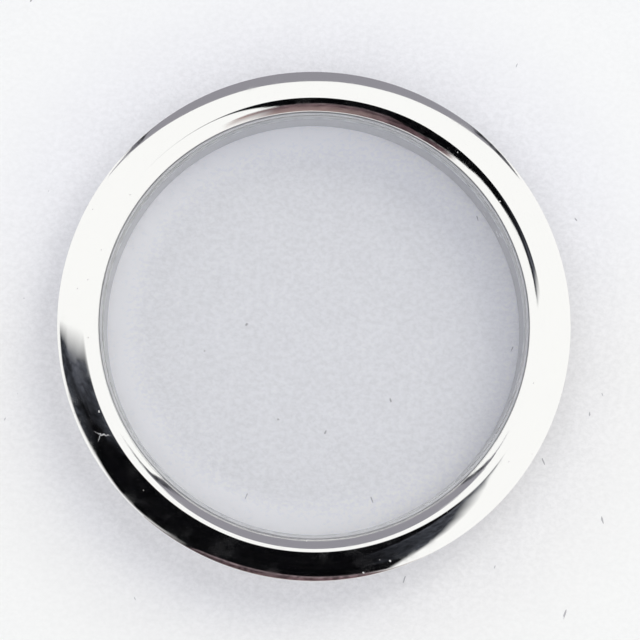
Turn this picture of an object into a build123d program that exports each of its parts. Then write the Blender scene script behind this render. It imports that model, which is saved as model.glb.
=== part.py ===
"""Wristwatch crystal set in its polished steel bezel, in millimetres.

The part lies face up: z = 0 is the foot of the bezel's skirt, +Z is the ring's axis and points
at the wearer's eye, +Y is twelve o'clock and +X is three o'clock. Three pieces make it up: the
turned steel bezel, the flat mineral glass, and the thin gasket that seals the glass in its seat.
"""
import os

from build123d import *

# Crystal and gasket.
glass_diameter = 33.4
glass_thickness = 1.4
glass_recess = 0.09          # glass face below the lip of the seat
glass_chamfer = 0.12
gasket_wall = 0.1            # sleeve between the glass and the seat
gasket_flange = 0.15         # flat leg under the glass

# Bezel, from the seat of the glass outwards over its front.
total_height = 4.8
slope_width = 0.6            # inner slope, from the lip of the seat up to the bevel
slope_fall = 0.54
bevel_width = 0.35           # inner bevel, from the slope up to the crest
bevel_fall = 0.22
face_width = 2.25            # domed front face, from the crest to the outer edge
face_fall = 0.52
face_radius = 7.4            # crown of the front face, in section
crest_round = 0.05
rim_round = 0.08

# Bezel, the rim that overhangs the case and the skirt that presses into it.
rim_foot_height = 1.8
rim_overhang = 1.8
rim_chamfer = 0.35
skirt_lead_in = 0.2

# Bezel, the ledge under the gasket and the bore below it.
ledge_width = 0.3
bore_chamfer = 0.1

glass_radius = glass_diameter / 2
seat_radius = glass_radius + gasket_wall
bore_radius = seat_radius - ledge_width
bevel_radius = seat_radius + slope_width
crest_radius = bevel_radius + bevel_width
outer_radius = crest_radius + face_width
skirt_radius = outer_radius - rim_overhang

rim_top = total_height - face_fall
bevel_foot = total_height - bevel_fall
lip_height = bevel_foot - slope_fall
glass_top = lip_height - glass_recess
glass_foot = glass_top - glass_thickness
ledge_height = glass_foot - gasket_flange


def turned(*outline):
    """Solid of revolution about Z from outline curves drawn as (radius, height)."""
    section = make_face([edge for curve in outline for edge in curve.edges()])
    return revolve(Plane.XZ * section, Axis.Z)


def circle_edges(solid, radius, height):
    """The round edges of a turned solid at this radius and height."""
    return [
        edge
        for edge in solid.edges().filter_by(GeomType.CIRCLE)
        if abs(edge.radius - radius) < 1e-4 and abs(edge.center().Z - height) < 1e-4
    ]


def bezel_ring():
    """Turned ring: domed face, inner bevel and slope, seat, ledge, bore, skirt and rim."""
    crest = (crest_radius, total_height)
    rim_edge = (outer_radius, rim_top)
    face = RadiusArc(crest, rim_edge, face_radius)
    rest = Polyline(
        rim_edge,
        (outer_radius, rim_foot_height + rim_chamfer),
        (outer_radius - rim_chamfer, rim_foot_height),
        (skirt_radius, rim_foot_height),
        (skirt_radius, skirt_lead_in),
        (skirt_radius - skirt_lead_in, 0),
        (bore_radius + bore_chamfer, 0),
        (bore_radius, bore_chamfer),
        (bore_radius, ledge_height),
        (seat_radius, ledge_height),
        (seat_radius, lip_height),
        (bevel_radius, bevel_foot),
        crest,
    )
    ring = turned(face, rest)
    ring = fillet(circle_edges(ring, crest_radius, total_height), crest_round)
    return fillet(circle_edges(ring, outer_radius, rim_top), rim_round)


def crystal():
    """Flat round glass with a ground chamfer on both edges."""
    disc = Cylinder(glass_radius, glass_thickness, align=(Align.CENTER, Align.CENTER, Align.MIN))
    disc = chamfer(disc.edges().filter_by(GeomType.CIRCLE), glass_chamfer)
    return Pos(0, 0, glass_foot) * disc


def crystal_gasket():
    """Moulded L section: a sleeve round the glass and a flat leg between glass and ledge."""
    sleeve_top = glass_top - glass_chamfer
    return turned(
        Polyline(
            (seat_radius, ledge_height),
            (seat_radius, sleeve_top),
            (glass_radius, sleeve_top),
            (glass_radius, glass_foot),
            (bore_radius, glass_foot),
            (bore_radius, ledge_height),
            close=True,
        )
    )


nodes = {
    "bezel_ring": bezel_ring(),
    "crystal": crystal(),
    "crystal_gasket": crystal_gasket(),
}

os.makedirs("parts", exist_ok=True)
for name, solid in nodes.items():
    export_step(solid, f"parts/{name}.step")
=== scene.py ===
"""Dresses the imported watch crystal: polished steel bezel, mineral glass and its gasket."""
import math

import bmesh
import bpy
from mathutils import Matrix, Vector


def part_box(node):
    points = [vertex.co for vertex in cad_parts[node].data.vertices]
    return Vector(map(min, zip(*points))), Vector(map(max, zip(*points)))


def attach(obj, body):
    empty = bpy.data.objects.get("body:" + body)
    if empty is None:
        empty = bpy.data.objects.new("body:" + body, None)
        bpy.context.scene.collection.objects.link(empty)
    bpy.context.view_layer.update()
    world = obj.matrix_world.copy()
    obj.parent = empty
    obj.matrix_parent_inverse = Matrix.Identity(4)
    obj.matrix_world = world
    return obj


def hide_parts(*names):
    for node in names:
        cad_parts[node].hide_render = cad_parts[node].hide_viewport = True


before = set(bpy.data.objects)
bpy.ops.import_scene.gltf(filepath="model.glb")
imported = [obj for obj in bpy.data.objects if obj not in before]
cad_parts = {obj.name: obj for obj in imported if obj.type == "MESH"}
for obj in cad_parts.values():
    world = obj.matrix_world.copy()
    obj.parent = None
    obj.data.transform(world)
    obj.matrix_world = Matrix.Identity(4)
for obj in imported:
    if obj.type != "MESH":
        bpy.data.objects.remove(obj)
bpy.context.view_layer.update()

# Camera. A close lens almost straight above the ring, leaning a little towards six o'clock, with
# twelve o'clock up. It looks at the middle of the ring, at the height of the bezel's rim.
camera_place = Vector((-0.0028, -0.0162, 0.1272))
camera_target = Vector((0.00039, 0.00009, 0.00428))
twelve_o_clock = Vector((0, 1, 0))
lens_data = bpy.data.cameras.new("camera")
lens_data.sensor_width = 36
lens_data.lens = 89.65
lens_data.clip_start = 0.001
camera = bpy.data.objects.new("camera", lens_data)
bpy.context.collection.objects.link(camera)
looking = (camera_target - camera_place).normalized()
sideways = looking.cross(twelve_o_clock).normalized()
camera_turn = Matrix((sideways, sideways.cross(looking), -looking)).transposed()
camera.matrix_world = Matrix.Translation(camera_place) @ camera_turn.to_4x4()
bpy.context.scene.camera = camera
bpy.context.scene.view_settings.view_transform = "Standard"


# Paper. A sheet of soft fibrous white paper that the ring lies on, with a faint cloudy mottle, short
# loose fibres and a few dark specks. Under and round the ring it is painted darker and bluer, as
# painted shade, and close inside the bore it is painted paler, as painted light. Next to the ring it
# gives a faint light of its own, for what the polished bore and rim throw on it.
def node(tree, kind, inputs=None, **settings):
    """A shader node: its properties by name, its sockets fed by a value or by another's output."""
    made = tree.nodes.new("ShaderNode" + kind)
    for name, value in settings.items():
        setattr(made, name, value)
    for socket, value in (inputs or {}).items():
        if isinstance(value, bpy.types.NodeSocket):
            tree.links.new(value, made.inputs[socket])
        else:
            made.inputs[socket].default_value = value
    return made


def math_node(tree, operation, *values):
    """The result of a Math node on these values or outputs."""
    return node(tree, "Math", dict(enumerate(values)), operation=operation).outputs[0]


def fade(tree, value, low, high, low_out=0.0, high_out=1.0):
    """A smooth step from low_out to high_out as the value goes from low to high."""
    limits = {"Value": value, "From Min": low, "From Max": high, "To Min": low_out, "To Max": high_out}
    return node(tree, "MapRange", limits, interpolation_type="SMOOTHSTEP").outputs[0]


def tint(tree, factor, first, second):
    """The first colour, turning to the second with the factor."""
    mixed = node(tree, "Mix", {0: factor, 6: first, 7: second}, data_type="RGBA")
    return mixed.outputs[2]


def from_axis(tree, place):
    """How far a place lies from the ring's axis, and its three parts."""
    parts = node(tree, "SeparateXYZ", {0: place}).outputs
    flat = node(tree, "CombineXYZ", {0: parts[0], 1: parts[1]}).outputs[0]
    reach = node(tree, "VectorMath", {0: flat}, operation="LENGTH").outputs["Value"]
    return reach, parts


def empty_material(name):
    """A new material holding only its output, with its tree and that output."""
    made = bpy.data.materials.new(name)
    made.use_nodes = True
    made.node_tree.nodes.clear()
    output = node(made.node_tree, "OutputMaterial")
    return made, made.node_tree, output


def specks_group():
    """Sparse small specks: a mask of 1 on each one."""
    waver = 0.0003
    group = bpy.data.node_groups.new("specks", "ShaderNodeTree")
    for name in ("Scale", "Size", "Share"):
        group.interface.new_socket(name=name, in_out="INPUT", socket_type="NodeSocketFloat")
    group.interface.new_socket(name="Place", in_out="INPUT", socket_type="NodeSocketVector")
    group.interface.new_socket(name="Mask", in_out="OUTPUT", socket_type="NodeSocketFloat")
    given = group.nodes.new("NodeGroupInput").outputs
    wobble = node(group, "TexNoise", {"Vector": given["Place"], "Scale": 2600.0, "Detail": 2.0})
    bent = node(group, "VectorMath", {0: wobble.outputs["Color"], 1: (0.5, 0.5, 0.5)},
                operation="SUBTRACT").outputs[0]
    bent = node(group, "VectorMath", {0: bent, "Scale": waver}, operation="SCALE").outputs[0]
    bent = node(group, "VectorMath", {0: given["Place"], 1: bent}, operation="ADD").outputs[0]
    cells = node(group, "TexVoronoi", {"Vector": bent, "Scale": given["Scale"]})
    near = math_node(group, "LESS_THAN", cells.outputs["Distance"], given["Size"])
    chosen = node(group, "SeparateColor", {0: cells.outputs["Color"]}).outputs[0]
    chosen = math_node(group, "LESS_THAN", chosen, given["Share"])
    output = group.nodes.new("NodeGroupOutput")
    group.links.new(math_node(group, "MULTIPLY", near, chosen), output.inputs["Mask"])
    return group


specks = specks_group()


def speckled(tree, place, scale, size, share):
    """The specks group's mask, placed in a material."""
    used = tree.nodes.new("ShaderNodeGroup")
    used.node_tree = specks
    for name, value in (("Scale", scale), ("Size", size), ("Share", share)):
        used.inputs[name].default_value = value
    tree.links.new(place, used.inputs["Place"])
    return used.outputs["Mask"]


bezel_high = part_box("bezel_ring")[1]
paper_side = 3.0
ring_edge = bezel_high.x
ring_foot = ring_edge - 0.002  # about where the ring's skirt stands
bore_foot = ring_edge - 0.0035
far_out = 0.034                # where the paper has its far colour
# painted shade: the paper is painted darker and bluer under and near the ring, turning to its own far
# colour out at far_out
shaded_paper_near = (0.852, 0.852, 0.89, 1)
paper_far = (0.935, 0.94, 0.93, 1)
paper_warm = (1.006, 1.0, 0.968)  # shift of the outer paper towards six o'clock
painted_bore_light = 1.125             # painted light: how much paler the paper is painted close inside the bore
thrown_in = 0.095              # light that the polished bore throws on the paper
thrown_out = 0.055             # light that the rim throws, on the lamp's side
thrown_away = 0.125            # the same, on the side away from the lamp
lint_dark = (0.30, 0.29, 0.32, 1)
lint_depth = 0.7

paper, tree, output = empty_material("fibrous_paper")
place = node(tree, "TexCoord").outputs["Object"]
distance = node(tree, "VectorMath", {0: place}, operation="LENGTH").outputs["Value"]
across, along = node(tree, "SeparateXYZ", {0: place}).outputs[:2]
cloud = node(tree, "TexNoise", {"Vector": place, "Scale": 320.0, "Detail": 5.0, "Roughness": 0.6})
nap_place = node(tree, "Mapping", {"Vector": place, "Rotation": (0, 0, 0.12),
                                   "Scale": (0.85, 1.0, 1.0)})
nap = node(tree, "TexNoise", {"Vector": nap_place.outputs[0], "Scale": 2700.0, "Detail": 5.0,
                              "Roughness": 0.68, "Distortion": 0.2})
under_ring = fade(tree, distance, ring_foot - 0.0005, ring_foot, 1.0, 0.0)
outside = fade(tree, distance, ring_foot, ring_foot + 0.001)

paper_colour = tint(tree, fade(tree, distance, ring_foot, far_out), shaded_paper_near, paper_far)
warm = math_node(tree, "MULTIPLY", outside, fade(tree, along, 0.014, -0.004))
warm = math_node(tree, "MULTIPLY", warm, fade(tree, distance, 0.024, far_out, 1.0, 0.4))
warmed = node(tree, "VectorMath", {0: paper_colour, 1: paper_warm}, operation="MULTIPLY").outputs[0]
paper_colour = tint(tree, warm, paper_colour, warmed)
mottle_and_painted_light = math_node(tree, "MULTIPLY", fade(tree, cloud.outputs[0], 0.3, 0.7, 0.98, 1.01),
                   fade(tree, nap.outputs[0], 0.32, 0.68, 0.94, 1.055))
flatter = fade(tree, distance, ring_foot, 0.030, 1.0, 0.3)
mottle_and_painted_light = math_node(tree, "MULTIPLY_ADD", math_node(tree, "SUBTRACT", mottle_and_painted_light, 1.0), flatter, 1.0)
# Painted light: close inside the bore the paper is painted paler, most at the wall.
close_in = fade(tree, distance, bore_foot - 0.003, bore_foot, 0.6, 1.0)
close_in = math_node(tree, "MULTIPLY", close_in, under_ring)
mottle_and_painted_light = math_node(tree, "MULTIPLY", mottle_and_painted_light, fade(tree, close_in, 0.0, 1.0, 1.0, painted_bore_light))
paper_colour = node(tree, "VectorMath", {0: paper_colour, "Scale": mottle_and_painted_light},
                    operation="SCALE").outputs[0]
lint = speckled(tree, place, 330.0, 0.04, 0.3)
for turn in (1.2, 1.9):
    hair_place = node(tree, "Mapping", {"Vector": place, "Rotation": (0, 0, turn),
                                        "Scale": (5.0, 1.0, 1.0)}, vector_type="TEXTURE")
    hairs = speckled(tree, hair_place.outputs[0], 620.0, 0.04, 0.6)
    lint = math_node(tree, "MAXIMUM", lint, hairs)
paper_colour = tint(tree, math_node(tree, "MULTIPLY", lint, lint_depth), paper_colour, lint_dark)
height = math_node(tree, "ADD", cloud.outputs[0], math_node(tree, "MULTIPLY", nap.outputs[0], 0.25))
relief = node(tree, "Bump", {"Height": height, "Distance": 0.00012,
                             "Strength": math_node(tree, "MULTIPLY", flatter, 0.5)})

from_bore = fade(tree, distance, bore_foot - 0.0037, bore_foot - 0.0008, 0.0, thrown_in)
from_bore = math_node(tree, "MULTIPLY", from_bore, fade(tree, across, -0.002, 0.015, 1.0, 0.0))
from_bore = math_node(tree, "MULTIPLY", from_bore, under_ring)
from_rim = fade(tree, math_node(tree, "ADD", across, along), -0.018, 0.002, thrown_away, thrown_out)
from_rim = math_node(tree, "MULTIPLY", from_rim,
                     fade(tree, distance, ring_edge, ring_edge + 0.0018, 1.0, 0.0))
from_rim = math_node(tree, "MULTIPLY", from_rim, outside)
rays = node(tree, "LightPath").outputs
looked_at = math_node(tree, "MAXIMUM", rays["Is Camera Ray"], rays["Is Transmission Ray"])
looked_at = math_node(tree, "MAXIMUM", looked_at, rays["Is Glossy Ray"])
thrown = math_node(tree, "MULTIPLY", looked_at, math_node(tree, "ADD", from_bore, from_rim))
surface = node(tree, "BsdfPrincipled", {
    "Base Color": paper_colour,
    "Roughness": 0.95,
    "Specular IOR Level": 0.1,
    "Emission Color": paper_colour,
    "Emission Strength": thrown,
    "Normal": relief.outputs[0],
})
tree.links.new(surface.outputs[0], output.inputs[0])
paper.cycles.emission_sampling = "NONE"

sheet = bmesh.new()
bmesh.ops.create_grid(sheet, x_segments=1, y_segments=1, size=paper_side / 2)
sheet_mesh = bpy.data.meshes.new("paper")
sheet.to_mesh(sheet_mesh)
sheet.free()
sheet_mesh.materials.append(paper)
paper_sheet = bpy.data.objects.new("paper", sheet_mesh)
bpy.context.collection.objects.link(paper_sheet)

# Light tent. A warm square lamp high up at the right and a cool surround light the ring. Only the
# polish mirrors the painted boards: a black one level with the lens, a nearer one that dips on
# the left, a low grey strip behind the ring and a short rosy bar in front.
surround_light = 0.89          # on matt surfaces, before it is made stronger overhead
surround_tint = (0.975, 0.985, 1.035, 1)
surround_shine = 1.2           # in reflections
surround_seen = (0.93, 0.93, 0.945, 1)
warm_white = (1, 1, 0.985, 1)
world = bpy.data.worlds.new("surround")
bpy.context.scene.world = world
world.use_nodes = True
tree = world.node_tree
tree.nodes.clear()
rays = node(tree, "LightPath").outputs
shine = node(tree, "Background", {"Color": warm_white, "Strength": surround_shine})
upward = node(tree, "SeparateXYZ", {0: node(tree, "TexCoord").outputs["Object"]}).outputs[2]
overhead = math_node(tree, "MULTIPLY_ADD", math_node(tree, "MULTIPLY", upward, upward), 1.2, 0.4)
overhead = math_node(tree, "MULTIPLY", overhead, surround_light)
light = node(tree, "Background", {"Color": surround_tint, "Strength": overhead})
seen = node(tree, "Background", {"Color": surround_seen, "Strength": 1.0})
mixed = node(tree, "MixShader", {0: rays["Is Glossy Ray"], 1: light.outputs[0], 2: shine.outputs[0]})
looked_at = math_node(tree, "MAXIMUM", rays["Is Camera Ray"], rays["Is Transmission Ray"])
mixed = node(tree, "MixShader", {0: looked_at, 1: mixed.outputs[0], 2: seen.outputs[0]})
node(tree, "OutputWorld", {0: mixed.outputs[0]})

lamp_place = Vector((0.65, 0.65, 0.67))
lamp_data = bpy.data.lights.new("soft_square_lamp", "AREA")
lamp_data.size = 0.65
lamp_data.energy = 2.9
lamp_data.color = (1.0, 0.96, 0.78)
lamp = bpy.data.objects.new("soft_square_lamp", lamp_data)
lamp.location = lamp_place
lamp.rotation_euler = lamp_place.to_track_quat("Z", "Y").to_euler()
lamp.visible_glossy = False
lamp.visible_camera = False
lamp.visible_transmission = False
bpy.context.collection.objects.link(lamp)

board_paint, tree, output = empty_material("board_paint")
place = node(tree, "TexCoord").outputs["Object"]
paint = node(tree, "Attribute", attribute_name="paint").outputs["Color"]
reach, parts = from_axis(tree, place)
bearing = math_node(tree, "ARCTAN2", parts[0], math_node(tree, "MULTIPLY", parts[1], -1.0))
spread = node(tree, "CombineXYZ", {
    0: math_node(tree, "MULTIPLY", reach, 110.0),
    1: math_node(tree, "MULTIPLY", bearing, 34.0),
    2: math_node(tree, "MULTIPLY", parts[2], 110.0),
}).outputs[0]
wisps = node(tree, "TexNoise", {"Vector": spread, "Scale": 1.0, "Detail": 4.0, "Roughness": 0.6,
                                "Distortion": 0.8}).outputs[0]
wispy = math_node(tree, "SUBTRACT", fade(tree, wisps, 0.35, 0.65, 0.4, 1.8), 1.0)
dark = fade(tree, node(tree, "SeparateColor", {0: paint}).outputs[2], 0.14, 0.25, 1.0, 0.0)
uneven = math_node(tree, "MULTIPLY_ADD", wispy, dark, 1.0)
glow = node(tree, "Emission", {"Color": paint, "Strength": uneven})
tree.links.new(glow.outputs[0], output.inputs[0])
board_paint.cycles.emission_sampling = "NONE"


def hang_board(name, board):
    """Hangs a painted board in the tent, where only reflections see it."""
    mesh = bpy.data.meshes.new(name)
    board.to_mesh(mesh)
    board.free()
    mesh.materials.append(board_paint)
    hung = bpy.data.objects.new(name, mesh)
    bpy.context.collection.objects.link(hung)
    hung.visible_camera = False
    hung.visible_diffuse = False
    hung.visible_transmission = False
    hung.visible_shadow = False


def standing_board(name, columns):
    """A board on edge, through columns of (x, y) and then (height, paint) from its foot to its top."""
    board = bmesh.new()
    paints = board.verts.layers.float_color.new("paint")
    before = None
    for (x, y), *steps in columns:
        column = []
        for height, colour in steps:
            column.append(board.verts.new((x, y, height)))
            column[-1][paints] = colour
        if before:
            for foot in range(len(steps) - 1):
                board.faces.new((before[foot], column[foot], column[foot + 1], before[foot + 1]))
        before = column
    hang_board(name, board)


white_paint = (*(surround_shine * part for part in warm_white[:3]), 1)
black_paint = (0.001, 0.001, 0.0015, 1)
smoky_paint = (0.052, 0.056, 0.068, 1)
hazy_paint = (0.095, 0.10, 0.12, 1)
dusk_paint = (0.09, 0.09, 0.10, 1)
pale_dusk_paint = (0.2, 0.195, 0.22, 1)
grey_paint = (0.355, 0.347, 0.385, 1)
rosy_paint = (0.155, 0.10, 0.11, 1)
brown_paint = (0.07, 0.045, 0.05, 1)
rosy_edge_paint = (0.22, 0.17, 0.18, 1)
pale_rosy_paint = (0.43, 0.315, 0.30, 1)
black_core = 0.75              # where the plain black middle starts, as a share of the way out


def faded_board(name, middle, haze_core, rim):
    """A black board with a painted rim. Each corner of the rim is its outer place and paint, its
    inner place and paint, and its height. Haze reaches in to haze_core, a share of the way out."""
    board = bmesh.new()
    paints = board.verts.layers.float_color.new("paint")
    rings = [[], [], []]
    for outer, outer_paint, inner, inner_paint, height in rim:
        core = middle.lerp(Vector(inner), black_core if inner_paint == black_paint else haze_core)
        corners = ((outer, outer_paint), (inner, inner_paint), (core, black_paint))
        for ring, (place, paint) in zip(rings, corners):
            ring.append(board.verts.new((place[0], place[1], height)))
            ring[-1][paints] = paint
    for outer_ring, inner_ring in zip(rings, rings[1:]):
        for index in range(len(rim)):
            board.faces.new((outer_ring[index - 1], outer_ring[index],
                             inner_ring[index], inner_ring[index - 1]))
    board.faces.new(rings[-1])
    hang_board(name, board)


lens_level = 0.13
faded_board("black_board", Vector((-0.02, -0.12)), haze_core=0.62, rim=[
    ((0.0455, -0.0215), white_paint, (0.0425, -0.0295), black_paint, lens_level),
    ((0.0, -0.027), white_paint, (0.0, -0.032), black_paint, lens_level),
    ((-0.020, -0.031), black_paint, (-0.021, -0.036), black_paint, lens_level),
    ((-0.048, -0.060), black_paint, (-0.046, -0.064), black_paint, lens_level),
    ((-0.068, -0.112), white_paint, (-0.064, -0.114), black_paint, lens_level),
    ((-0.110, -0.200), white_paint, (-0.105, -0.200), black_paint, lens_level),
    ((-0.110, -0.240), white_paint, (-0.105, -0.235), black_paint, lens_level),
    ((0.045, -0.240), white_paint, (0.041, -0.235), black_paint, lens_level),
    ((0.0555, -0.114), white_paint, (0.0495, -0.107), black_paint, lens_level),
    ((0.0615, -0.0905), white_paint, (0.0555, -0.084), smoky_paint, lens_level),
    ((0.0665, -0.0785), white_paint, (0.055, -0.070), smoky_paint, lens_level),
    ((0.0675, -0.0625), white_paint, (0.052, -0.054), smoky_paint, lens_level),
    ((0.0665, -0.052), white_paint, (0.0465, -0.0415), smoky_paint, lens_level),
    ((0.0605, -0.039), white_paint, (0.043, -0.033), hazy_paint, lens_level),
    ((0.0525, -0.0265), white_paint, (0.046, -0.024), hazy_paint, lens_level),
    ((0.0510, -0.0150), white_paint, (0.049, -0.0185), hazy_paint, lens_level),
])
faded_board("dipping_board", Vector((-0.038, -0.018)), haze_core=0.25, rim=[
    ((-0.013, -0.017), black_paint, (-0.016, -0.022), black_paint, 0.05),
    ((-0.022, -0.012), white_paint, (-0.024, -0.0135), black_paint, 0.05),
    ((-0.0255, -0.007), white_paint, (-0.0275, -0.009), smoky_paint, 0.05),
    ((-0.0272, 0.0), white_paint, (-0.030, -0.0035), smoky_paint, 0.05),
    ((-0.0325, 0.0045), white_paint, (-0.0328, -0.0005), smoky_paint, 0.05),
    ((-0.044, 0.0055), white_paint, (-0.044, -0.001), hazy_paint, 0.05),
    ((-0.054, 0.0065), white_paint, (-0.054, -0.0005), hazy_paint, 0.05),
    ((-0.063, 0.0080), white_paint, (-0.062, 0.0025), smoky_paint, 0.05),
    ((-0.071, 0.009), white_paint, (-0.069, 0.004), smoky_paint, 0.05),
    ((-0.070, -0.004), white_paint, (-0.068, -0.004), smoky_paint, 0.05),
    ((-0.066, -0.018), white_paint, (-0.063, -0.017), smoky_paint, 0.05),
    ((-0.050, -0.025), white_paint, (-0.047, -0.024), black_paint, 0.04),
    ((-0.046, -0.035), white_paint, (-0.044, -0.033), black_paint, 0.04),
    ((-0.034, -0.033), white_paint, (-0.032, -0.031), black_paint, 0.03),
    ((-0.024, -0.039), black_paint, (-0.022, -0.036), black_paint, 0.03),
    ((-0.008, -0.042), black_paint, (-0.009, -0.038), black_paint, 0.05),
    ((-0.006, -0.024), black_paint, (-0.008, -0.028), black_paint, 0.05),
])

# The grey strip stands on the paper, bent to an arc. Both its ends slant upwards, with a darker
# band along the slant, and each runs out into a narrow tail. Its heights are in millimetres. A
# second strip hangs a little higher, where only the inner slope at six o'clock sees it.
to_metres = 0.001
strip_bend = 0.067
strip_middle = (0.004, -0.026)
band_fade = 1.2                # height over which the band turns back to grey
strip = []
for turn, foot, band_foot, band_top, top, band_paint in (
    (-35, 22.8, 22.9, 23.0, 23.2, grey_paint),
    (-32, 21.8, 22.0, 22.8, 23.2, grey_paint),
    (-30, 20.5, 20.8, 22.6, 23.2, pale_dusk_paint),
    (-28, 15.0, 15.3, 21.8, 23.7, dusk_paint),
    (-26, 8.0, 8.4, 17.5, 24.0, dusk_paint),
    (-24.5, 3.0, 4.5, 11.0, 24.2, dusk_paint),
    (-23, 0.0, 0.2, 3.0, 24.5, grey_paint),
    (-20, 0.0, 0.2, 3.0, 25.0, grey_paint),
    (-10, 0.0, 0.2, 3.0, 25.5, grey_paint),
    (0, 0.0, 0.2, 3.0, 25.5, grey_paint),
    (10, 0.0, 0.2, 3.0, 25.5, grey_paint),
    (16, 0.0, 2.0, 8.0, 25.5, grey_paint),
    (19.5, 0.5, 8.0, 16.0, 25.5, dusk_paint),
    (21, 3.0, 12.0, 22.5, 25.5, dusk_paint),
    (23, 17.5, 18.5, 22.5, 25.5, dusk_paint),
    (25, 21.2, 21.5, 24.3, 25.2, dusk_paint),
    (27, 22.3, 22.6, 25.0, 25.7, dusk_paint),
    (29, 24.0, 24.2, 25.5, 26.0, dusk_paint),
    (31, 25.6, 25.7, 25.8, 26.0, dusk_paint),
):
    x = strip_middle[0] + strip_bend * math.sin(math.radians(turn))
    y = strip_middle[1] + strip_bend * math.cos(math.radians(turn))
    over_band = min(band_top + band_fade, top - 0.1)
    steps = ((foot, grey_paint), (band_foot, band_paint), (band_top, band_paint),
             (over_band, grey_paint), (top, grey_paint))
    strip.append(((x, y), *((height * to_metres, colour) for height, colour in steps)))
standing_board("grey_strip", strip)
standing_board("far_grey_strip", [
    ((-0.057, 0.057), (0.032, pale_dusk_paint), (0.037, pale_dusk_paint)),
    ((-0.051, 0.057), (0.029, dusk_paint), (0.038, pale_dusk_paint)),
    ((-0.046, 0.057), (0.028, grey_paint), (0.039, grey_paint)),
    ((0.0, 0.057), (0.028, grey_paint), (0.040, grey_paint)),
    ((0.038, 0.057), (0.028, grey_paint), (0.039, grey_paint)),
    ((0.046, 0.057), (0.030, dusk_paint), (0.038, pale_dusk_paint)),
    ((0.051, 0.057), (0.034, pale_dusk_paint), (0.037, pale_dusk_paint)),
])
rosy_bar = []
for x, y, foot, foot_paint, top, paint, edge_paint in (
    (0.036, -0.060, 0.022, white_paint, 0.045, white_paint, white_paint),
    (0.026, -0.057, 0.017, white_paint, 0.046, pale_rosy_paint, white_paint),
    (0.014, -0.055, 0.017, pale_rosy_paint, 0.046, rosy_paint, rosy_edge_paint),
    (0.0, -0.054, 0.016, pale_rosy_paint, 0.046, rosy_paint, rosy_edge_paint),
    (-0.02, -0.049, 0.016, rosy_paint, 0.045, brown_paint, rosy_edge_paint),
    (-0.036, -0.045, 0.018, rosy_paint, 0.042, brown_paint, rosy_edge_paint),
    (-0.042, -0.043, 0.020, pale_rosy_paint, 0.040, rosy_paint, rosy_edge_paint),
):
    rosy_bar.append(((x, y), (foot, foot_paint), (top - 0.006, paint), (top - 0.0035, paint),
                     (top - 0.002, edge_paint), (top, edge_paint)))
standing_board("rosy_bar", rosy_bar)

# Bezel. One turned ring of stainless steel, mirror polished over its domed front, its bevel and
# its inner slope, and left fine turned in the bore, under the rim and on the skirt that presses
# into the watch case. Its sizes are in millimetres.
gasket_low, gasket_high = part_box("crystal_gasket")
glass_low, glass_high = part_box("crystal")
outer_radius = bezel_high.x / to_metres
total_height = round(bezel_high.z / to_metres, 1)  # of the crest before it is rounded off
seat_radius = gasket_high.x / to_metres
ledge_height = gasket_low.z / to_metres
glass_recess = 0.09            # the glass lies this far below the lip
lip_height = glass_high.z / to_metres + glass_recess
slope_width = 0.6
slope_bow = 4.0                # radius of its slightly rounded section
bevel_width = 0.35
bevel_fall = 0.22
bevel_bow = 3.0
face_fall = 0.52
face_bow = 7.4                 # crown of the domed front
ledge_width = 0.3
rim_foot = 1.8
rim_overhang = 1.8
rim_chamfer = 0.35
skirt_lead_in = 0.2
bore_chamfer = 0.1
crest_round = 0.04
rim_round = 0.05
lip_round = 0.015
turned_round = 0.02            # the other turned edges
ledge_round = 0.006
turns = 360                    # facets round the ring
longest_edge = 0.12            # longer edges of a section are divided
weld_gap = 0.0002              # corners closer than this become one
bevel_radius = seat_radius + slope_width
crest_radius = bevel_radius + bevel_width
skirt_radius = outer_radius - rim_overhang
bore_radius = seat_radius - ledge_width


def bowed(section, start, end, radius, steps):
    """Edges along an arc from one corner of a section to another, rounded outwards."""
    half = (end.co - start.co) / 2
    to_centre = Vector((half.z, 0, -half.x)).normalized()
    centre = start.co + half + to_centre * math.sqrt(radius**2 - half.length_squared)
    angle = 2 * math.asin(half.length / radius)
    arc = bmesh.ops.spin(section, geom=[start], cent=centre, axis=(0, 1, 0), angle=angle, steps=steps)
    arc_end = next(part for part in arc["geom_last"] if isinstance(part, bmesh.types.BMVert))
    bmesh.ops.weld_verts(section, targetmap={arc_end: end})


def start_section(outline):
    """A section with corners at these (radius, height) pairs, and the list of those corners."""
    section = bmesh.new()
    corners = [section.verts.new((radius, 0, height)) for radius, height in outline]
    return section, corners


def soften(section, corners, size, steps):
    """Rounds these corners of a section."""
    bmesh.ops.bevel(section, geom=corners, offset=size, offset_type="OFFSET", segments=steps,
                    profile=0.5, affect="VERTICES", material=-1, clamp_overlap=True)


def turned_piece(name, section, material):
    """Spins a section about the ring's axis into a closed piece, in metres."""
    long_edges = [edge for edge in section.edges if edge.calc_length() > longest_edge]
    bmesh.ops.subdivide_edges(section, edges=long_edges, cuts=4)
    bmesh.ops.spin(section, geom=section.verts[:] + section.edges[:], cent=(0, 0, 0),
                   axis=(0, 0, 1), angle=math.tau, steps=turns, use_merge=True)
    return finished_piece(name, section, material)


def finished_piece(name, shape, material):
    """A piece from a bmesh in millimetres: welded, faced outwards, smooth and in metres."""
    bmesh.ops.remove_doubles(shape, verts=shape.verts[:], dist=weld_gap)
    bmesh.ops.recalc_face_normals(shape, faces=shape.faces[:])
    bmesh.ops.scale(shape, vec=(to_metres,) * 3, verts=shape.verts[:])
    for face in shape.faces:
        face.smooth = True
    mesh = bpy.data.meshes.new(name)
    shape.to_mesh(mesh)
    shape.free()
    mesh.materials.append(material)
    piece = bpy.data.objects.new(name, mesh)
    bpy.context.collection.objects.link(piece)
    return piece


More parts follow.
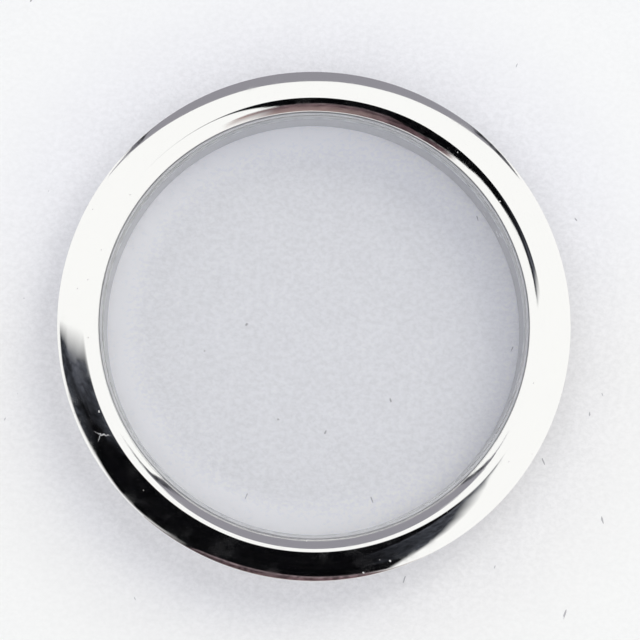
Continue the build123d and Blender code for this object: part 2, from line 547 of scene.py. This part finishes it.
def marks_group():
    """Polishing marks of a turned piece, in rings and across them: a height of 0 to 1."""
    group = bpy.data.node_groups.new("polishing_marks", "ShaderNodeTree")
    for name in ("Rings", "Across"):
        group.interface.new_socket(name=name, in_out="INPUT", socket_type="NodeSocketFloat")
    group.interface.new_socket(name="Place", in_out="INPUT", socket_type="NodeSocketVector")
    group.interface.new_socket(name="Height", in_out="OUTPUT", socket_type="NodeSocketFloat")
    given = group.nodes.new("NodeGroupInput").outputs
    reach, parts = from_axis(group, given["Place"])
    bearing = math_node(group, "ARCTAN2", parts[1], parts[0])
    spread = node(group, "CombineXYZ", {
        0: math_node(group, "MULTIPLY", reach, given["Rings"]),
        1: math_node(group, "MULTIPLY", bearing, given["Across"]),
        2: math_node(group, "MULTIPLY", parts[2], given["Rings"]),
    }).outputs[0]
    lines = node(group, "TexNoise", {"Vector": spread, "Scale": 1.0, "Detail": 3.0, "Roughness": 0.6})
    output = group.nodes.new("NodeGroupOutput")
    group.links.new(lines.outputs[0], output.inputs["Height"])
    return group


polishing_marks = marks_group()


def marked(tree, place, rings, across):
    """The polishing marks' height, placed in a material."""
    used = tree.nodes.new("ShaderNodeGroup")
    used.node_tree = polishing_marks
    used.inputs["Rings"].default_value = rings
    used.inputs["Across"].default_value = across
    tree.links.new(place, used.inputs["Place"])
    return used.outputs["Height"]


steel_colour = (0.79, 0.79, 0.785, 1)
turned_colour = (0.58, 0.58, 0.59, 1)
dust_colour = (0.75, 0.74, 0.72, 1)
white_speck_colour = (0.97, 0.97, 0.97, 1)  # white specks in one patch of the bore
shade_and_dirt_colour = (0.30, 0.30, 0.31, 1)     # painted shade, with some dirt, in the fine groove between the lip and the glass
turned_roughness = 0.28
dust_roughness = 0.6
film_strength = 0.012          # dried polish in patches over the mirror
hairline_strength = 0.03       # fine scratches round the ring
slope_groove_depth = 2.0       # the inner slope is polished less evenly
nick_strength = 0.8
nick_waver = 0.0006            # how far the nick's strokes stray from straight
nick_place = (-0.0163, -0.0088, 0.0047)
white_speck_place = (0.0144, 0.0080, 0.0012)
seat_reach = seat_radius * to_metres
bevel_reach = bevel_radius * to_metres
rim_level = rim_foot * to_metres
groove_foot = gasket_high.z
groove_top = lip_height * to_metres

steel, tree, output = empty_material("polished_steel")
place = node(tree, "TexCoord").outputs["Object"]
reach, parts = from_axis(tree, place)
below_rim = fade(tree, parts[2], rim_level + 0.00006, rim_level - 0.00002)
in_bore = fade(tree, reach, seat_reach + 0.00003, seat_reach + 0.00001)
fine_turned = math_node(tree, "MAXIMUM", below_rim, in_bore)

dust_and_groove_shade = speckled(tree, place, 900.0, 0.055, 0.45)
white_specks = speckled(tree, place, 1500.0, 0.3, 0.5)
from_white_specks = node(tree, "VectorMath", {0: place, 1: white_speck_place}, operation="DISTANCE")
near_white_specks = fade(tree, from_white_specks.outputs["Value"], 0.0008, 0.0018, 1.0, 0.0)
white_specks = math_node(tree, "MULTIPLY", white_specks, near_white_specks)
dust_and_groove_shade = math_node(tree, "MAXIMUM", dust_and_groove_shade, white_specks)
# Painted shade, with some dirt: the fine groove between the lip and the glass is painted dark.
groove_shade_and_dirt = fade(tree, parts[2], groove_foot - 0.00001, groove_foot + 0.00001)
groove_shade_and_dirt = math_node(tree, "MULTIPLY", groove_shade_and_dirt,
                        fade(tree, parts[2], groove_top - 0.00001, groove_top - 0.00002))
groove_shade_and_dirt = math_node(tree, "MULTIPLY", groove_shade_and_dirt, in_bore)
metal_colour = tint(tree, fine_turned, steel_colour, turned_colour)
metal_colour = tint(tree, dust_and_groove_shade, metal_colour, dust_colour)
metal_colour = tint(tree, white_specks, metal_colour, white_speck_colour)
metal_colour = tint(tree, groove_shade_and_dirt, metal_colour, shade_and_dirt_colour)
# From here this mask also holds the painted groove shade, which is made dull.
dust_and_groove_shade = math_node(tree, "MAXIMUM", dust_and_groove_shade, groove_shade_and_dirt)

smudge_noise = node(tree, "TexNoise", {"Vector": place, "Scale": 420.0, "Detail": 5.0,
                                       "Roughness": 0.62})
smudges = fade(tree, smudge_noise.outputs[0], 0.5, 0.68)
polish = fade(tree, smudges, 0.0, 1.0, 0.045, 0.11)
roughness = node(tree, "Mix", {0: fine_turned, 2: polish, 3: turned_roughness}, data_type="FLOAT")
roughness = math_node(tree, "MAXIMUM", roughness.outputs[0],
                      math_node(tree, "MULTIPLY", dust_and_groove_shade, dust_roughness))

grooves = node(tree, "Mix", {0: fine_turned, 2: 0.03, 3: 1.0}, data_type="FLOAT").outputs[0]
marks = math_node(tree, "MULTIPLY", marked(tree, place, 40000.0, 3.0), grooves)
cross_marks = math_node(tree, "MULTIPLY", marked(tree, place, 900.0, 260.0), 0.05)
marks = math_node(tree, "ADD", marks, cross_marks)
slope_grooves = fade(tree, reach, bevel_reach - 0.00002, bevel_reach + 0.00002,
                     slope_groove_depth, 0.0)
slope_marks = math_node(tree, "MULTIPLY", marked(tree, place, 12000.0, 3.0), slope_grooves)
marks = math_node(tree, "ADD", marks, slope_marks)
relief = node(tree, "Bump", {"Height": marks, "Strength": 1.0, "Distance": 0.000001})

streaks = node(tree, "TexNoise", {"Vector": place, "Scale": 520.0, "Detail": 7.0, "Roughness": 0.7,
                                  "Distortion": 0.8})
film = fade(tree, streaks.outputs[0], 0.48, 0.78, 0.0, film_strength)
hairlines = math_node(tree, "SUBTRACT", marked(tree, place, 5200.0, 2.2), 0.5)
hairlines = fade(tree, math_node(tree, "ABSOLUTE", hairlines), 0.0, 0.006, hairline_strength, 0.0)

spot = node(tree, "VectorMath", {0: place, 1: nick_place}, operation="SUBTRACT").outputs[0]
spot_size = node(tree, "VectorMath", {0: spot}, operation="LENGTH").outputs["Value"]
nick = fade(tree, spot_size, 0.0003, 0.0008, nick_strength, 0.0)
jagged = node(tree, "TexNoise", {"Vector": place, "Scale": 3200.0, "Detail": 3.0})
jagged = node(tree, "VectorMath", {0: jagged.outputs["Color"], 1: (0.5, 0.5, 0.5)},
              operation="SUBTRACT").outputs[0]
spot = node(tree, "VectorMath", {0: jagged, 1: (nick_waver,) * 3, 2: spot},
            operation="MULTIPLY_ADD").outputs[0]
strokes = 0.0
for across, along, start in (
    ((0.16, 0.99, 0), (0.99, -0.16, 0), -0.001),
    ((0.81, -0.58, 0), (-0.58, -0.81, 0), 0.0),
):
    offset = node(tree, "VectorMath", {0: spot, 1: across}, operation="DOT_PRODUCT").outputs["Value"]
    reached = node(tree, "VectorMath", {0: spot, 1: along}, operation="DOT_PRODUCT").outputs["Value"]
    stroke = fade(tree, math_node(tree, "ABSOLUTE", offset), 0.00001, 0.00005, 1.0, 0.0)
    stroke = math_node(tree, "MULTIPLY", stroke, math_node(tree, "GREATER_THAN", reached, start))
    strokes = math_node(tree, "MAXIMUM", strokes, stroke)
nick = math_node(tree, "MULTIPLY", nick, strokes)
dull = math_node(tree, "MAXIMUM", math_node(tree, "MAXIMUM", dust_and_groove_shade, film),
                 math_node(tree, "MAXIMUM", nick, hairlines))
surface = node(tree, "BsdfPrincipled", {
    "Base Color": metal_colour,
    "Metallic": math_node(tree, "SUBTRACT", 1.0, dull),
    "Roughness": roughness,
    "Normal": relief.outputs[0],
})
tree.links.new(surface.outputs[0], output.inputs[0])

section, corners = start_section([
    (seat_radius, lip_height),
    (bevel_radius, total_height - bevel_fall),
    (crest_radius, total_height),
    (outer_radius, total_height - face_fall),
    (outer_radius, rim_foot + rim_chamfer),
    (outer_radius - rim_chamfer, rim_foot),
    (skirt_radius, rim_foot),
    (skirt_radius, skirt_lead_in),
    (skirt_radius - skirt_lead_in, 0),
    (bore_radius + bore_chamfer, 0),
    (bore_radius, bore_chamfer),
    (bore_radius, ledge_height),
    (seat_radius, ledge_height),
])
lip, bevel_foot, crest, rim_edge, *turned_edges, ledge_edge, seat_foot = corners
bowed(section, lip, bevel_foot, slope_bow, steps=10)
bowed(section, bevel_foot, crest, bevel_bow, steps=6)
bowed(section, crest, rim_edge, face_bow, steps=26)
for before, after in zip(corners[3:], corners[4:] + [lip]):
    section.edges.new((before, after))
soften(section, [rim_edge], rim_round, steps=5)
soften(section, [crest], crest_round, steps=6)
soften(section, [lip, bevel_foot], lip_round, steps=3)
soften(section, [*turned_edges, seat_foot], turned_round, steps=3)
soften(section, [ledge_edge], ledge_round, steps=2)
bezel = turned_piece("steel_bezel", section, steel)
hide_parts("bezel_ring")
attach(bezel, "root")

# Crystal. A flat disc of mineral glass with both faces polished and a fine ground chamfer round
# each edge. It is pressed into the gasket, just below the lip of the bezel.
glass_radius = glass_high.x / to_metres
glass_foot = glass_low.z / to_metres
glass_thickness = glass_high.z / to_metres - glass_foot
glass_chamfer = 0.12
glass_colour = (0.975, 0.985, 1.0, 1)
shadow_colour = (0.99, 0.99, 0.99, 1)  # the light that the glass lets through
glass_lint = (0.6, 0.6, 0.6, 1)
ground_colour = (0.72, 0.72, 0.73, 1)
ground_roughness = 0.6
frost_share = 0.5
ground_reach = (glass_radius - glass_chamfer) * to_metres

glass, tree, output = empty_material("mineral_glass")
place = node(tree, "TexCoord").outputs["Object"]
haze = node(tree, "TexNoise", {"Vector": place, "Scale": 300.0, "Detail": 5.0, "Roughness": 0.6})
lint = speckled(tree, place, 700.0, 0.05, 0.02)
clear = tint(tree, lint, glass_colour, glass_lint)
reach, parts = from_axis(tree, place)
ground = fade(tree, reach, ground_reach, ground_reach + 0.00001)
polish = fade(tree, haze.outputs[0], 0.45, 0.75, 0.0, 0.015)
roughness = node(tree, "Mix", {0: ground, 2: polish, 3: ground_roughness}, data_type="FLOAT")
surface = node(tree, "BsdfPrincipled", {
    "Base Color": clear,
    "Roughness": roughness.outputs[0],
    "IOR": 1.52,
    "Specular IOR Level": 0.03,
    "Transmission Weight": 1.0,
})
frosted = node(tree, "BsdfDiffuse", {"Color": ground_colour})
frost = math_node(tree, "MULTIPLY", ground, frost_share)
edged = node(tree, "MixShader", {0: frost, 1: surface.outputs[0], 2: frosted.outputs[0]})
through = node(tree, "BsdfTransparent", {0: shadow_colour})
shadow_ray = node(tree, "LightPath").outputs["Is Shadow Ray"]
lets_light = node(tree, "MixShader", {0: shadow_ray, 1: edged.outputs[0], 2: through.outputs[0]})
tree.links.new(lets_light.outputs[0], output.inputs[0])

disc = bmesh.new()
bmesh.ops.create_cone(disc, cap_ends=True, segments=turns, radius1=glass_radius,
                      radius2=glass_radius, depth=glass_thickness)
bmesh.ops.translate(disc, vec=(0, 0, glass_foot + glass_thickness / 2), verts=disc.verts[:])
rims = [edge for edge in disc.edges if abs(edge.verts[0].co.z - edge.verts[1].co.z) < 0.001]
bmesh.ops.bevel(disc, geom=rims, offset=glass_chamfer, offset_type="OFFSET", segments=1,
                profile=0.5, affect="EDGES", material=-1, clamp_overlap=True)
crystal = finished_piece("mineral_crystal", disc, glass)
crystal.data.set_sharp_from_angle(angle=math.radians(30))
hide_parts("crystal")
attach(crystal, "root")

# Gasket. A thin moulded nylon seal, L-shaped in section: its sleeve grips the glass all round
# and its flat leg lies between the glass and the ledge.
gasket_colour = (0.80, 0.805, 0.82, 1)
gasket_shade = (0.64, 0.65, 0.67, 1)    # where the nylon flowed unevenly
sleeve_top = gasket_high.z / to_metres
glass_gap = 0.005              # between glass and gasket, so that their faces don't coincide
sleeve_reach = (glass_radius + 0.05) * to_metres
# how dark the painted shade, with some dirt, makes the sleeve's top
shade_and_dirt_depth = 0.8
sleeve_round = 0.015

nylon, tree, output = empty_material("gasket_nylon")
place = node(tree, "TexCoord").outputs["Object"]
flow = node(tree, "TexNoise", {"Vector": place, "Scale": 900.0, "Detail": 4.0})
nylon_colour = tint(tree, fade(tree, flow.outputs[0], 0.35, 0.65), gasket_colour, gasket_shade)
relief = node(tree, "Bump", {"Height": flow.outputs[0], "Strength": 0.3, "Distance": 0.00001})
reach, parts = from_axis(tree, place)
# Painted shade, with some dirt: the sleeve's top is painted dark where it meets the steel.
groove_shade_and_dirt = fade(tree, reach, sleeve_reach - 0.000015, sleeve_reach + 0.000005, 0.0, shade_and_dirt_depth)
groove_shade_and_dirt = math_node(tree, "MULTIPLY", groove_shade_and_dirt,
                        fade(tree, parts[2], groove_foot - 0.00003, groove_foot - 0.00001))
nylon_colour = tint(tree, groove_shade_and_dirt, nylon_colour, shade_and_dirt_colour)
surface = node(tree, "BsdfPrincipled", {
    "Base Color": nylon_colour,
    "Roughness": 0.5,
    "Normal": relief.outputs[0],
})
tree.links.new(surface.outputs[0], output.inputs[0])

section, corners = start_section([
    (seat_radius, ledge_height),
    (seat_radius, sleeve_top),
    (glass_radius + glass_gap, sleeve_top),
    (glass_radius + glass_gap, glass_foot - glass_gap),
    (bore_radius, glass_foot - glass_gap),
    (bore_radius, ledge_height),
])
for before, after in zip(corners, corners[1:] + corners[:1]):
    section.edges.new((before, after))
soften(section, corners[:3], sleeve_round, steps=3)
soften(section, corners[4:], ledge_round, steps=2)
gasket = turned_piece("nylon_gasket", section, nylon)
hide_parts("crystal_gasket")
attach(gasket, "root")
